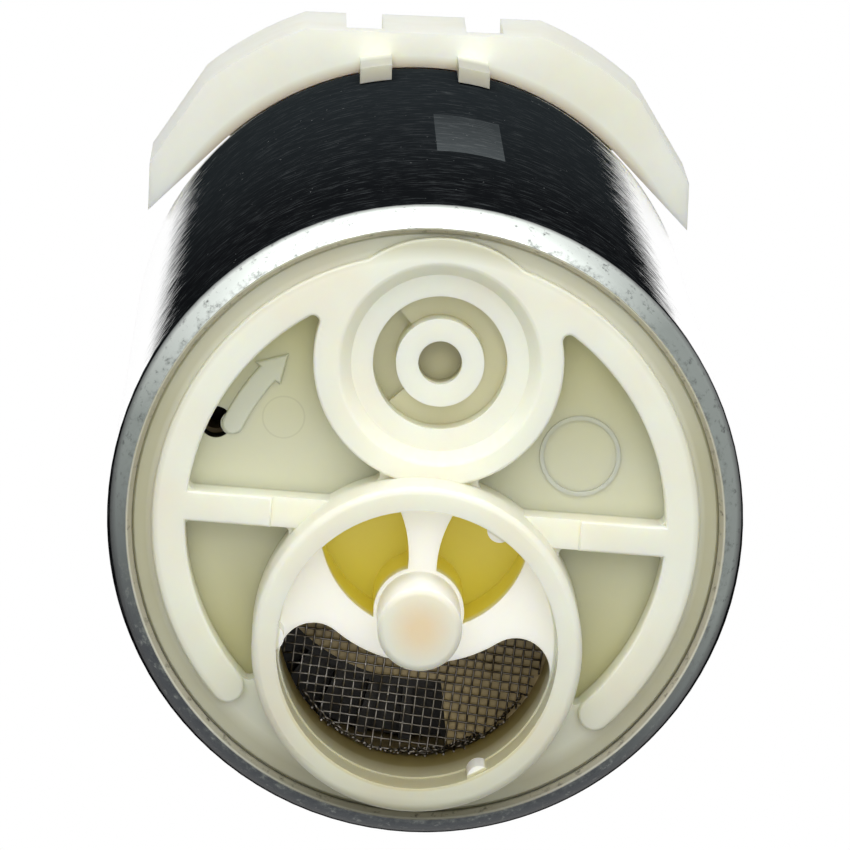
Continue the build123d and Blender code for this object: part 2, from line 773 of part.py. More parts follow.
def make_outlet_cover():
    body = Pos(0, 0, shell_length) * mirror(crimped_disc(deck_thickness - face_height), Plane.XY)
    hub = disc(hub_radius, deck_z, hub_top)
    body += fillet(hub.edges().group_by(Axis.Z)[-1], boss_edge) + make_wing()
    body += tube(seat_radius, seat_radius - skirt_wall, deck_z - skirt_depth, deck_z)
    body -= disc(hub_radius - hub_wall, deck_z, roof_z)
    body -= seal_cut(outlet_seal_z)

    # Bosses: bearing, brush guides, valve chamber, relief valve and connector
    body += disc(bushing_radius + guide_wall, upper_bushing_z, hub_top)
    outer = (brush_size[0] + 2 * brush_gap + 2 * guide_wall, brush_size[1] + 2 * brush_gap + 2 * guide_wall)
    for side in (-1, 1):
        body += slab(outer, guide_z, cap_z, at=(side * brush_offset, 0))
    body += disc(chamber_outer, valve_z, chamber_roof, at=nozzle_at)
    body += turned(nozzle_profile(), at=nozzle_at)
    relief_foot = relief_seat_z - relief_seat_wall
    body += disc(relief_room_radius + relief_wall, relief_foot, relief_top, at=relief_place)
    shroud = slab(socket_size, hub_top, hub_top + socket_height, at=socket_at)
    body += fillet(shroud.edges().filter_by(Axis.Z), socket_wall)
    inside = (socket_size[0] - 2 * socket_wall, socket_size[1] - 2 * socket_wall)
    body -= slab(inside, hub_top, hub_top + socket_height, at=socket_at)

    # Bores for what each boss holds
    body -= disc(bushing_radius, upper_bushing_z, upper_bushing_z + bushing_length)
    slot = (brush_size[0] + 2 * brush_gap, brush_size[1] + 2 * brush_gap)
    for side in (-1, 1):
        body -= slab(slot, commutator_face, cap_z, at=(side * brush_offset, 0))
        body -= disc(choke_well, deck_z, cap_z, at=(side * choke_place[0], choke_place[1]))
    body -= disc(chamber_radius, valve_z, chamber_roof, at=nozzle_at)
    body -= disc(nozzle_bore, chamber_roof, nozzle_top, at=nozzle_at)
    body -= disc(relief_bore, relief_foot, relief_seat_z, at=relief_place)
    body -= disc(relief_room_radius, relief_seat_z, relief_top, at=relief_place)
    for place in blade_places:
        body -= slab((blade_width + 2 * seat_gap, blade_thickness + 2 * seat_gap), roof_z, hub_top, at=place)
    return body


# Brushes

def make_brush(side):
    """Carbon brush with a chamfered back end."""
    body = slab(brush_size, brush_z, brush_top, at=(side * brush_offset, 0))
    return chamfer(body.edges().group_by(Axis.Z)[-1], brush_edge)


def make_brush_spring(side):
    radius = min(brush_size) / 2 - 2 * brush_wire
    return spring(radius, brush_wire, brush_turns, brush_top, cap_z, at=(side * brush_offset, 0))


def make_brush_lead(side):
    """Braided copper lead, inside the spring from the brush to its cap."""
    return disc(2 * brush_wire, brush_top, cap_z, at=(side * brush_offset, 0))


def make_brush_cap(side):
    """Brass cap on the guide, with a tongue that is soldered to the choke."""
    plate = (brush_size[0] + 2 * guide_wall, brush_size[1] + 2 * guide_wall)
    cap = slab(plate, cap_z, cap_z + cap_thickness, at=(side * brush_offset, 0))
    dx = choke_place[0] - brush_offset
    reach = hypot(dx, choke_place[1])
    turn = degrees(atan2(choke_place[1], side * dx))
    tongue = Pos(side * brush_offset, 0) * Rot(0, 0, turn) * Pos(reach / 2, 0)
    return cap + prism(tongue * SlotCenterToCenter(reach, 2 * choke_core), cap_z, cap_z + cap_thickness)


# Check valve

def make_valve_seat():
    """Ring pressed into the chamber from below, with a raised seat."""
    ring = tube(chamber_radius - seat_gap, valve_seat_bore, valve_z, valve_z + valve_seat_height)
    lip_width = poppet_radius - valve_seat_bore
    relief = tube(chamber_radius, valve_seat_bore + lip_width / 2, 0, lip_width / 2)
    return Pos(*nozzle_at, 0) * (ring - Pos(0, 0, valve_z + valve_seat_height - lip_width / 2) * relief)


def make_poppet():
    """Poppet with its stem, moulded in one."""
    head_top = poppet_z + poppet_thickness
    stem_top = chamber_roof - seat_gap
    edge = stem_radius / 4
    return turned([(0, poppet_z), (poppet_radius, poppet_z), (poppet_radius, head_top - edge),
                   (poppet_radius - edge, head_top), (stem_radius, head_top), (stem_radius, stem_top - edge),
                   (stem_radius - edge, stem_top), (0, stem_top)], at=nozzle_at)


def make_valve_guide():
    """Three-armed guide for the poppet's stem, seated under the chamber's roof."""
    outer = chamber_radius - seat_gap
    shape = Circle(outer) - Circle(outer - guide_ring) + Circle(hub_of_guide)
    for n in range(3):
        shape += Rot(0, 0, 120 * n) * half_plane(0, outer - guide_ring / 2, -guide_arm / 2, guide_arm / 2)
    shape -= Circle(stem_radius + stem_gap)
    return Pos(*nozzle_at, 0) * prism(shape, valve_guide_z, chamber_roof)


def make_valve_spring():
    radius = (stem_radius + hub_of_guide) / 2 + valve_wire
    return spring(radius, valve_wire, valve_turns, poppet_z + poppet_thickness, valve_guide_z, at=nozzle_at)


# Relief valve

def make_relief_ball():
    return Pos(*relief_place, ball_z) * Sphere(relief_ball)


def make_relief_spring():
    inner = relief_spring_radius - relief_wire - seat_gap
    rest = ball_z + sqrt(relief_ball**2 - inner**2)
    return spring(relief_spring_radius, relief_wire, relief_turns, rest, plug_z, at=relief_place)


def make_relief_plug():
    return tube(relief_room_radius - seat_gap, relief_plug_bore, plug_z, relief_top, at=relief_place)


# Chokes and terminals

def make_choke_core(side):
    return disc(choke_core, choke_z, choke_z + choke_length, at=(side * choke_place[0], choke_place[1]))


def make_choke_coil(side):
    """Enamelled wire round the ferrite core."""
    margin = choke_wire
    return spring(choke_coil, choke_wire, choke_turns, choke_z + margin, choke_z + choke_length - margin,
                  at=(side * choke_place[0], choke_place[1]))


def make_terminal(side):
    """Stamped blade with a foot that carries the choke."""
    x = side * blade_spacing / 2
    blade = slab((blade_width, blade_thickness), foot_z, hub_top + blade_height, at=(x, socket_at[1]))
    tip = blade.edges().group_by(Axis.Z)[-1].filter_by(Axis.X)
    blade = chamfer(tip, blade_thickness / 4)
    dx = side * choke_place[0] - x
    dy = choke_place[1] - socket_at[1]
    reach = hypot(dx, dy)
    strip = Pos(x, socket_at[1]) * Rot(0, 0, degrees(atan2(dy, dx))) * Pos(reach / 2, 0)
    return blade + prism(strip * SlotCenterToCenter(reach, 2 * choke_core), foot_z, choke_z)


def main():
    nodes = {
        "shell": make_shell(),
        "inlet_cover": make_inlet_cover(),
        "inlet_screen": make_inlet_screen(),
        "inlet_plate": make_inlet_plate(),
        "thrust_button": make_thrust_button(),
        "impeller": make_impeller(),
        "pump_body": make_pump_body(),
        "pump_body_seal": make_seal(body_seal_z),
        "lower_bushing": make_bushing(tower_top - bushing_length),
        "lower_thrust_washer": make_washer(lower_washer_z),
        "magnet_left": make_magnet(180),
        "magnet_right": make_magnet(0),
        "magnet_clip_front": make_magnet_clip(90),
        "magnet_clip_rear": make_magnet_clip(270),
        "shaft": make_shaft(),
        "lamination_stack": make_lamination_stack(),
        "lower_end_insulator": make_end_insulator(stack_z - insulator_thickness),
        "upper_end_insulator": make_end_insulator(stack_top),
        "armature_windings": make_windings(),
        "commutator_hub": make_commutator_hub(),
        "commutator_segments": make_commutator_segments(),
        "upper_thrust_washer": make_washer(commutator_face + seat_gap / 2),
        "upper_bushing": make_bushing(upper_bushing_z),
        "outlet_cover": make_outlet_cover(),
        "outlet_cover_seal": make_seal(outlet_seal_z),
        "check_valve_seat": make_valve_seat(),
        "check_valve_poppet": make_poppet(),
        "check_valve_spring": make_valve_spring(),
        "check_valve_guide": make_valve_guide(),
        "relief_valve_ball": make_relief_ball(),
        "relief_valve_spring": make_relief_spring(),
        "relief_valve_plug": make_relief_plug(),
    }
    for name, side in (("plus", 1), ("minus", -1)):
        nodes[f"brush_{name}"] = make_brush(side)
        nodes[f"brush_spring_{name}"] = make_brush_spring(side)
        nodes[f"brush_lead_{name}"] = make_brush_lead(side)
        nodes[f"brush_cap_{name}"] = make_brush_cap(side)
        nodes[f"choke_core_{name}"] = make_choke_core(side)
        nodes[f"choke_coil_{name}"] = make_choke_coil(side)
        nodes[f"terminal_{name}"] = make_terminal(side)
    os.makedirs("parts", exist_ok=True)
    for name, shape in nodes.items():
        export_step(shape, f"parts/{name}.step")


main()
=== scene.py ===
import math
import random

import bmesh
import bpy
from mathutils import Matrix, Vector


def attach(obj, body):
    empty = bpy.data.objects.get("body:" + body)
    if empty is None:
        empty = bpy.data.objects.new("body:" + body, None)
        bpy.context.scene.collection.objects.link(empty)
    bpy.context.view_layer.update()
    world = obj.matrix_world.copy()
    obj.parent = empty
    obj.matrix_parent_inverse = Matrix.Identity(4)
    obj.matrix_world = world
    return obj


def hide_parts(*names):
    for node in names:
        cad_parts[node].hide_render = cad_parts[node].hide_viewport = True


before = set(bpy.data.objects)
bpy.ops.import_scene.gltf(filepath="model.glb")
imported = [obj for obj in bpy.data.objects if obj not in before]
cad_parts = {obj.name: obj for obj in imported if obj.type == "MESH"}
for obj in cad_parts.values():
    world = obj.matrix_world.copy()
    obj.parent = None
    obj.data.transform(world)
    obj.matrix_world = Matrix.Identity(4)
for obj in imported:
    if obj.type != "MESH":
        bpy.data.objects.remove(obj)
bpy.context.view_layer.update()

# The photograph's view: the camera is under the inlet end and looks up along the pump, about nine degrees off its
# axis. Its place and direction were fitted to the near and far circles of the 38 mm shell, 490 mm away. Its
# inlet end is at z = 0, and -Y is the upper side in this view.
image_half = 425.0
focal_length = 8208.0
camera = bpy.data.cameras.new("camera")
camera.angle = 2 * math.atan(image_half / focal_length)
camera.clip_start = 0.01
camera.clip_end = 20.0
camera_object = bpy.data.objects.new("camera", camera)
bpy.context.scene.collection.objects.link(camera_object)
right = Vector((0.99670, -0.08031, -0.01190))
down = Vector((0.07752, 0.98498, -0.15429))
ahead = Vector((0.02411, 0.15286, 0.98795))
camera_object.matrix_world = Matrix.Translation((-0.012264, -0.080458, -0.483227)) @ Matrix(
    (right, -down, -ahead)).transposed().to_4x4()
bpy.context.scene.camera = camera_object
bpy.context.scene.view_settings.view_transform = "Standard"


# Studio: a white room. The camera, reflections and clear parts see white; as a light the room is dimmer, so that the
# background stays white and the part keeps its tones. The floor lies below the camera.
def linear(hex_colour):
    """Linear RGBA of an sRGB hex colour."""
    channels = [int(hex_colour[n:n + 2], 16) / 255 for n in (1, 3, 5)]
    return [c / 12.92 if c <= 0.04045 else ((c + 0.055) / 1.055) ** 2.4 for c in channels] + [1.0]


def add(tree, kind, settings=None, **links):
    """A new node: settings are properties or socket values, links are sockets fed by other nodes."""
    node = tree.nodes.new("ShaderNode" + kind)
    for name, value in (settings or {}).items():
        if isinstance(name, int) or name in node.inputs:
            node.inputs[name].default_value = value
        else:
            setattr(node, name, value)
    for name, source in links.items():
        socket = int(name[1:]) if name[1:].isdigit() else name.replace("_", " ")
        tree.links.new(source if isinstance(source, bpy.types.NodeSocket) else source.outputs[0], node.inputs[socket])
    return node


def background_seen(tree):
    """One for rays from the camera, a reflection or a clear part, and none for light."""
    rays = add(tree, "LightPath").outputs
    seen = add(tree, "Math", {"operation": "MAXIMUM"}, i0=rays["Is Camera Ray"], i1=rays["Is Glossy Ray"])
    return add(tree, "Math", {"operation": "MAXIMUM"}, i0=seen, i1=rays["Is Transmission Ray"])


world = bpy.data.worlds.new("white_room")
bpy.context.scene.world = world
world.use_nodes = True
tree = world.node_tree
tree.nodes.clear()
shown = add(tree, "Background", {"Color": linear("#FFFFFF"), "Strength": 1.0})
lit = add(tree, "Background", {"Color": linear("#FCFCFA"), "Strength": 0.27})
add(tree, "OutputWorld", i0=add(tree, "MixShader", i0=background_seen(tree), i1=lit, i2=shown))

floor_depth = -0.62
floor_mesh = bpy.data.meshes.new("floor")
shape = bmesh.new()
bmesh.ops.create_grid(shape, x_segments=1, y_segments=1, size=3.0, matrix=Matrix.Translation((0, 0, floor_depth)))
shape.to_mesh(floor_mesh)
shape.free()
floor = bpy.data.objects.new("floor", floor_mesh)
bpy.context.scene.collection.objects.link(floor)
paper = bpy.data.materials.new("white_paper")
paper.use_nodes = True
tree = paper.node_tree
tree.nodes.clear()
matte = add(tree, "BsdfDiffuse", {"Color": linear("#E9EAE6")})
shown = add(tree, "Emission", {"Color": linear("#FFFFFF"), "Strength": 1.0})
add(tree, "OutputMaterial", i0=add(tree, "MixShader", i0=background_seen(tree), i1=matte, i2=shown))
floor_mesh.materials.append(paper)

# A soft lamp in front, a small one overhead and one that lifts the far end.
for name, place, aim, size, power in (("front", (0.0, -0.05, -0.60), (0, 0, 0), 0.6, 1.55),
                                      ("overhead", (0.0, -0.18, -0.14), (0, 0, 0), 0.28, 0.33),
                                      ("far_end", (-0.02, -0.15, -0.01), (0, -0.02, 0.075), 0.15, 0.14)):
    lamp = bpy.data.lights.new(name, "AREA")
    lamp.size = size
    lamp.energy = power
    lamp_object = bpy.data.objects.new(name, lamp)
    turn = (Vector(aim) - Vector(place)).to_track_quat("-Z", "Y").to_matrix().to_4x4()
    lamp_object.matrix_world = Matrix.Translation(place) @ turn
    bpy.context.scene.collection.objects.link(lamp_object)


# Shell: a deep-drawn steel tube in black electrocoat, its two ends rolled in over the covers. The rolling tools rub
# the coat off the lips, so they show bare zinc, and the wall has fine scratches and dust.
def cad_copy(node):
    """The node's mesh with its triangles joined, as a bmesh."""
    shape = bmesh.new()
    shape.from_mesh(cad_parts[node].data)
    bmesh.ops.remove_doubles(shape, verts=shape.verts, dist=1e-6)
    bmesh.ops.dissolve_limit(shape, angle_limit=math.radians(0.5), verts=shape.verts, edges=shape.edges)
    return shape


def put(shape, name, body, material, smooth_angle=30):
    """Object made from a bmesh, smooth up to an angle but for its level faces, riding on a body."""
    shape.normal_update()
    for edge in shape.edges:
        edge.smooth = edge.is_manifold and edge.calc_face_angle(0) < math.radians(smooth_angle)
    for face in shape.faces:
        face.smooth = abs(face.normal.z) < 0.9999
    mesh = bpy.data.meshes.new(name)
    shape.to_mesh(mesh)
    shape.free()
    piece = bpy.data.objects.new(name, mesh)
    bpy.context.scene.collection.objects.link(piece)
    mesh.materials.append(material)
    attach(piece, body)
    return piece


def new_material(name, **sockets):
    """Material with one principled shader; returns the material, its tree and the shader."""
    material = bpy.data.materials.new(name)
    material.use_nodes = True
    tree = material.node_tree
    shader = tree.nodes["Principled BSDF"]
    for socket, value in sockets.items():
        shader.inputs[socket.replace("_", " ")].default_value = value
    return material, tree, shader


half_length = 0.036
lip_depth = 0.001
electrocoat, tree, shader = new_material("black_electrocoat_on_steel")
place = add(tree, "TexCoord").outputs["Object"]
axes = add(tree, "SeparateXYZ", i0=place).outputs
# The tube's wall: near-black, with light streaks round the tube (1.4 mm long, 0.3 mm apart), specks of dust 0.8 mm
# apart in drifts of 4 mm, and one patch rubbed lighter, which fades towards the far end.
around = add(tree, "VectorMath", {"operation": "MULTIPLY", 1: (700, 700, 3400)}, i0=place)
streaks = add(tree, "TexNoise", {"Scale": 1.0, "Detail": 4.0, "Roughness": 0.62}, Vector=around)
streaked = add(tree, "MapRange", {"From Min": 0.54, "From Max": 0.88}, Value=streaks)
specks = add(tree, "TexVoronoi", {"Scale": 1300.0}, Vector=place)
specks = add(tree, "MapRange", {"From Min": 0.085, "From Max": 0.05}, Value=specks)
dusty = add(tree, "TexNoise", {"Scale": 260.0, "Detail": 3.0}, Vector=place)
dusty = add(tree, "MapRange", {"From Min": 0.5, "From Max": 0.66}, Value=dusty)
specks = add(tree, "Math", {"operation": "MULTIPLY"}, i0=specks, i1=dusty)
patch_x = add(tree, "Math", {"operation": "COMPARE", 1: 0.0017, 2: 0.00215}, i0=axes["X"])
patch_z = add(tree, "Math", {"operation": "COMPARE", 1: 0.03625, 2: 0.00975}, i0=axes["Z"])
patch = add(tree, "Math", {"operation": "MULTIPLY"}, i0=patch_x, i1=patch_z)
fading = add(tree, "MapRange", {"From Min": 0.025, "From Max": 0.048, "To Min": 1.0, "To Max": 0.4},
             Value=axes["Z"])
upper_side = add(tree, "Math", {"operation": "LESS_THAN", 1: 0.0}, i0=axes["Y"])
fading = add(tree, "Math", {"operation": "MULTIPLY"}, i0=fading, i1=upper_side)
patch = add(tree, "Math", {"operation": "MULTIPLY"}, i0=patch, i1=fading)
along = add(tree, "MapRange", {"From Min": 0.01, "From Max": 0.06}, Value=axes["Z"])
coat = add(tree, "Mix", {"data_type": "RGBA", 6: linear("#121416"), 7: linear("#262B2E")}, i0=along)
coat = add(tree, "Mix", {"data_type": "RGBA", 7: linear("#565A5C")}, i0=streaked, i6=coat.outputs[2])
rubbed = add(tree, "Mix", {"data_type": "RGBA", 6: linear("#4A4F51"), 7: linear("#8B9091")}, i0=streaked)
coat = add(tree, "Mix", {"data_type": "RGBA"}, i0=patch, i6=coat.outputs[2], i7=rubbed.outputs[2])
coat = add(tree, "Mix", {"data_type": "RGBA", 7: linear("#A9ADAD")}, i0=specks, i6=coat.outputs[2])
# At a grazing angle the coat is painted white and metallic, a painted reflection of the bright room, and the streaks
# break up that edge.
painted_grazing_reflection = add(tree, "LayerWeight", {"Blend": 0.5}).outputs["Facing"]
painted_grazing_reflection = add(tree, "Math", {"operation": "MULTIPLY_ADD", 1: 0.05}, i0=streaks, i2=painted_grazing_reflection)
painted_grazing_reflection = add(tree, "MapRange", {"From Min": 0.957, "From Max": 0.973}, Value=painted_grazing_reflection)
coat = add(tree, "Mix", {"data_type": "RGBA", 7: linear("#FFFFFF")}, i0=painted_grazing_reflection, i6=coat.outputs[2])
# The lips: zinc laid bare by the rolling, with nicks 0.6 mm apart. Painted light makes them bright on the upper side,
# and painted shade darkens them and their nicks towards the lower side. Inwards follow a scuffed band, a bright edge
# and the burr that the roller left.
from_middle = add(tree, "Math", {"operation": "SUBTRACT", 1: half_length}, i0=axes["Z"])
from_middle = add(tree, "Math", {"operation": "ABSOLUTE"}, i0=from_middle)
coat_end = add(tree, "MapRange", {"From Min": -0.018, "From Max": 0.004, "To Min": half_length + 0.0004,
                                  "To Max": half_length + 0.0014}, Value=axes["Y"])
bare = add(tree, "Math", {"operation": "SUBTRACT"}, i0=from_middle, i1=coat_end)
bare = add(tree, "MapRange", {"From Min": -0.0003, "From Max": 0.0004}, Value=bare)
# Painted light and shade on the lips: lighter on the upper side, darker on the lower.
slanted = add(tree, "Math", {"operation": "MULTIPLY_ADD", 1: 0.25}, i0=axes["X"], i2=axes["Y"])
lip_painted_shade = add(tree, "MapRange", {"From Min": -0.0183, "From Max": -0.0095}, Value=slanted)
slanted = add(tree, "Math", {"operation": "MULTIPLY_ADD", 1: -0.2}, i0=axes["X"], i2=axes["Y"])
lip_lower_painted_shade = add(tree, "MapRange", {"From Min": 0.0, "From Max": 0.012}, Value=slanted)
zinc = add(tree, "Mix", {"data_type": "RGBA", 6: linear("#E9EFEA"), 7: linear("#8B928E")}, i0=lip_painted_shade)
zinc = add(tree, "Mix", {"data_type": "RGBA", 7: linear("#404448")}, i0=lip_lower_painted_shade, i6=zinc.outputs[2])
nicks = add(tree, "TexNoise", {"Scale": 1700.0, "Detail": 5.0, "Roughness": 0.7}, Vector=place)
nicked = add(tree, "MapRange", {"From Min": 0.56, "From Max": 0.72}, Value=nicks)
nick_colour = add(tree, "Mix", {"data_type": "RGBA", 6: linear("#3D4040"), 7: linear("#8D918D")}, i0=lip_lower_painted_shade)
zinc = add(tree, "Mix", {"data_type": "RGBA"}, i0=nicked, i6=zinc.outputs[2], i7=nick_colour.outputs[2])
flat = add(tree, "VectorMath", {"operation": "MULTIPLY", 1: (1, 1, 0)}, i0=place)
radius = add(tree, "VectorMath", {"operation": "LENGTH"}, i0=flat).outputs["Value"]
scuffed = add(tree, "MapRange", {"From Min": 0.44, "From Max": 0.6, "To Max": 0.6}, Value=nicks)
near_edge = add(tree, "MapRange", {"From Min": 0.01830, "From Max": 0.01795}, Value=radius)
scuffed = add(tree, "Math", {"operation": "MULTIPLY"}, i0=scuffed, i1=near_edge)
zinc = add(tree, "Mix", {"data_type": "RGBA", 7: linear("#6E736F")}, i0=scuffed, i6=zinc.outputs[2])
bright_edge = add(tree, "MapRange", {"From Min": 0.01786, "From Max": 0.01780}, Value=radius)
zinc = add(tree, "Mix", {"data_type": "RGBA", 7: linear("#E8E7E0")}, i0=bright_edge, i6=zinc.outputs[2])
burr = add(tree, "MapRange", {"From Min": 0.01776, "From Max": 0.01770}, Value=radius)
burr_colour = add(tree, "Mix", {"data_type": "RGBA", 6: linear("#C9C5B6"), 7: linear("#6B685C")}, i0=nicked)
zinc = add(tree, "Mix", {"data_type": "RGBA"}, i0=burr, i6=zinc.outputs[2], i7=burr_colour.outputs[2])
colour = add(tree, "Mix", {"data_type": "RGBA"}, i0=bare, i6=coat.outputs[2], i7=zinc.outputs[2])
tree.links.new(colour.outputs[2], shader.inputs["Base Color"])
# Metallic on the bare lips, and where the grazing reflection is painted.
metal = add(tree, "MapRange", {"To Max": 0.6}, Value=bare)
metal = add(tree, "Math", {"operation": "MAXIMUM"}, i0=metal, i1=painted_grazing_reflection)
tree.links.new(metal.outputs[0], shader.inputs["Metallic"])
gloss = add(tree, "MapRange", {"To Max": 0.5}, Value=bare)
tree.links.new(gloss.outputs[0], shader.inputs["Specular IOR Level"])
roughness = add(tree, "MapRange", {"To Min": 0.36, "To Max": 0.45}, Value=bare)
tree.links.new(roughness.outputs[0], shader.inputs["Roughness"])
bump = add(tree, "Bump", {"Strength": 0.3, "Distance": 0.00004}, Height=streaks)
bump = add(tree, "Bump", {"Strength": 0.35, "Distance": 0.00006}, Height=nicks, Normal=bump)
tree.links.new(bump.outputs[0], shader.inputs["Normal"])
shape = cad_copy("shell")
# A cut near each end keeps the lips' shading off the long wall faces.
for height in (lip_depth, 2 * half_length - lip_depth):
    bmesh.ops.bisect_plane(shape, geom=shape.verts[:] + shape.edges[:] + shape.faces[:], plane_co=(0, 0, height),
                           plane_no=(0, 0, 1))
shell = put(shape, "shell_tube", "housing", electrocoat)
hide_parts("shell")


# Inlet cover: one moulding of natural acetal, off-white and slightly translucent. The yellow of the two deep cores
# beside the spoke, where light only reaches it through its walls, is painted light. The level edges of its ring and
# ribs are rounded a little, as the mould left them.
boss_y = 0.00695
inlet_bore = 0.00825
port_centre = (0.0001, -0.00965)
vent_centre = (-0.01289, -0.00476)
ejector_centre = (-0.0089, -0.00535)
pin_end = (0, 0.0052, -0.0085)
rim_z = -0.002
pocket_floor = 0.001
edge_radius = 0.00022
level = 0.00005


def mould_edges(shape, lowest, highest, offset, least_angle=40):
    """Rounds the sharp convex edges between two heights."""
    edges = [e for e in shape.edges
             if len(e.link_faces) == 2 and e.calc_face_angle_signed(0) > math.radians(least_angle)
             and all(lowest < v.co.z < highest for v in e.verts)]
    bmesh.ops.bevel(shape, geom=edges, offset=offset, offset_type="OFFSET", segments=3, profile=0.5, affect="EDGES",
                    material=-1, clamp_overlap=True)


def acetal(name, cored, fresh, stained):
    """Natural acetal between two tones, with the inlet cover's painted shade and light if cored and the outlet cover's
    painted shade if not.
    """
    material, tree, shader = new_material(name, IOR=1.48, Subsurface_Weight=0.6, Subsurface_Scale=0.0016,
                                          Subsurface_Radius=(1.0, 0.85, 0.45))
    shader.subsurface_method = "RANDOM_WALK"
    # Waxy and soft-edged, with fuel stains 7 mm across and the mould's 0.3 mm grain.
    place = add(tree, "TexCoord").outputs["Object"]
    stain = add(tree, "TexNoise", {"Scale": 150.0, "Detail": 3.0}, Vector=place)
    stain = add(tree, "MapRange", {"From Min": 0.4, "From Max": 0.75}, Value=stain)
    colour = add(tree, "Mix", {"data_type": "RGBA", 6: linear(fresh), 7: linear(stained)}, i0=stain).outputs[2]
    if cored:
        axes = add(tree, "SeparateXYZ", i0=place).outputs
        flat = add(tree, "VectorMath", {"operation": "MULTIPLY", 1: (1, 1, 0)}, i0=place)
        radius = add(tree, "VectorMath", {"operation": "LENGTH"}, i0=flat).outputs["Value"]
        from_boss = add(tree, "VectorMath", {"operation": "DISTANCE", 1: (0, boss_y, 0)}, i0=flat).outputs["Value"]
        # Painted shade on the pockets' floors, which are also thin and dark behind: greener, and browner towards the
        # lower side.
        lower = add(tree, "MapRange", {"From Min": 0.0, "From Max": 0.008}, Value=axes["Y"])
        upper = add(tree, "MapRange", {"From Min": -0.004, "From Max": -0.011}, Value=axes["Y"])
        floor_painted_shade = add(tree, "Mix", {"data_type": "RGBA", 6: linear("#D0D0B6"), 7: linear("#D0CD9C")}, i0=upper)
        floor_painted_shade = add(tree, "Mix", {"data_type": "RGBA", 7: linear("#C3C092")}, i0=lower, i6=floor_painted_shade.outputs[2])
        in_port = add(tree, "VectorMath", {"operation": "DISTANCE", 1: (*port_centre, 0)}, i0=flat).outputs["Value"]
        in_port = add(tree, "MapRange", {"From Min": 0.0056, "From Max": 0.0054}, Value=in_port)
        floor_painted_shade = add(tree, "Mix", {"data_type": "RGBA", 7: linear("#E3DFBC")}, i0=in_port, i6=floor_painted_shade.outputs[2])
        on_floor = add(tree, "MapRange", {"From Min": 0.0004, "From Max": 0.00095}, Value=axes["Z"])
        colour = add(tree, "Mix", {"data_type": "RGBA"}, i0=on_floor, i6=colour, i7=floor_painted_shade.outputs[2]).outputs[2]
        # A faint ring where an ejector pin stood, and painted shade: the floor inside the open vent is painted
        # near-black.
        ejector = add(tree, "VectorMath", {"operation": "DISTANCE", 1: (*ejector_centre, 0)}, i0=flat).outputs["Value"]
        ejector = add(tree, "Math", {"operation": "COMPARE", 1: 0.00125, 2: 0.00005}, i0=ejector)
        ejector = add(tree, "Math", {"operation": "MULTIPLY", 1: 0.18}, i0=ejector)
        colour = add(tree, "Mix", {"data_type": "RGBA", 7: linear("#8F8C68")}, i0=ejector, i6=colour).outputs[2]
        vent = add(tree, "VectorMath", {"operation": "DISTANCE", 1: (*vent_centre, 0)}, i0=flat).outputs["Value"]
        vent = add(tree, "MapRange", {"From Min": 0.00108, "From Max": 0.00102}, Value=vent)
        sunk = add(tree, "MapRange", {"From Min": 0.00104, "From Max": 0.0012}, Value=axes["Z"])
        vent = add(tree, "Math", {"operation": "MULTIPLY"}, i0=vent, i1=sunk)
        colour = add(tree, "Mix", {"data_type": "RGBA", 7: linear("#15130E")}, i0=vent, i6=colour).outputs[2]
        # Painted shade outside the ring, beside the dark shell and most at the two sides, where the steel behind takes
        # the light.
        sideways = add(tree, "Math", {"operation": "ABSOLUTE"}, i0=axes["Y"])
        sideways = add(tree, "MapRange", {"From Min": 0.005, "From Max": 0.0135, "To Min": 0.95, "To Max": 0.6},
                       Value=sideways)
        wall_painted_shade = add(tree, "MapRange", {"From Min": 0.0159, "From Max": 0.0167}, Value=radius)
        wall_painted_shade = add(tree, "Math", {"operation": "MULTIPLY"}, i0=wall_painted_shade, i1=sideways)
        colour = add(tree, "Mix", {"data_type": "RGBA", 7: linear("#B5B292")}, i0=wall_painted_shade, i6=colour).outputs[2]
        # The bore of the return port's post is in shade at its bottom.
        bored = add(tree, "VectorMath", {"operation": "DISTANCE", 1: (*port_centre, pocket_floor)},
                    i0=place).outputs["Value"]
        bored = add(tree, "MapRange", {"From Min": 0.0019, "From Max": 0.0015}, Value=bored)
        colour = add(tree, "Mix", {"data_type": "RGBA", 7: linear("#BDB892")}, i0=bored, i6=colour).outputs[2]
        # Painted shade: the lower side of the whole moulding is a little darker.
        lower_side_painted_shade = add(tree, "MapRange", {"From Min": 0.004, "From Max": 0.017}, Value=axes["Y"])
        colour = add(tree, "Mix", {"data_type": "RGBA", "blend_type": "MULTIPLY", 7: linear("#E2E1D9")},
                     i0=lower_side_painted_shade, i6=colour).outputs[2]
        # Painted shade, brownish, on the inlet's wall and the back of the cover, deep in the cup.
        deep_painted_shade = add(tree, "MapRange", {"From Min": -0.0022, "From Max": 0.0042}, Value=axes["Z"])
        in_cup = add(tree, "MapRange", {"From Min": inlet_bore + 0.0003, "From Max": inlet_bore + 0.0002},
                     Value=from_boss)
        deep_painted_shade = add(tree, "Math", {"operation": "MULTIPLY"}, i0=deep_painted_shade, i1=in_cup)
        colour = add(tree, "Mix", {"data_type": "RGBA", 7: linear("#A08F55")}, i0=deep_painted_shade, i6=colour).outputs[2]
        # The cup's lower wall, in its own shade.
        low_wall = add(tree, "MapRange", {"From Min": 0.0085, "From Max": 0.0115}, Value=axes["Y"])
        low_wall = add(tree, "Math", {"operation": "MULTIPLY"}, i0=low_wall, i1=in_cup)
        colour = add(tree, "Mix", {"data_type": "RGBA", "blend_type": "MULTIPLY", 7: linear("#F6F0DC")},
                     i0=low_wall, i6=colour).outputs[2]
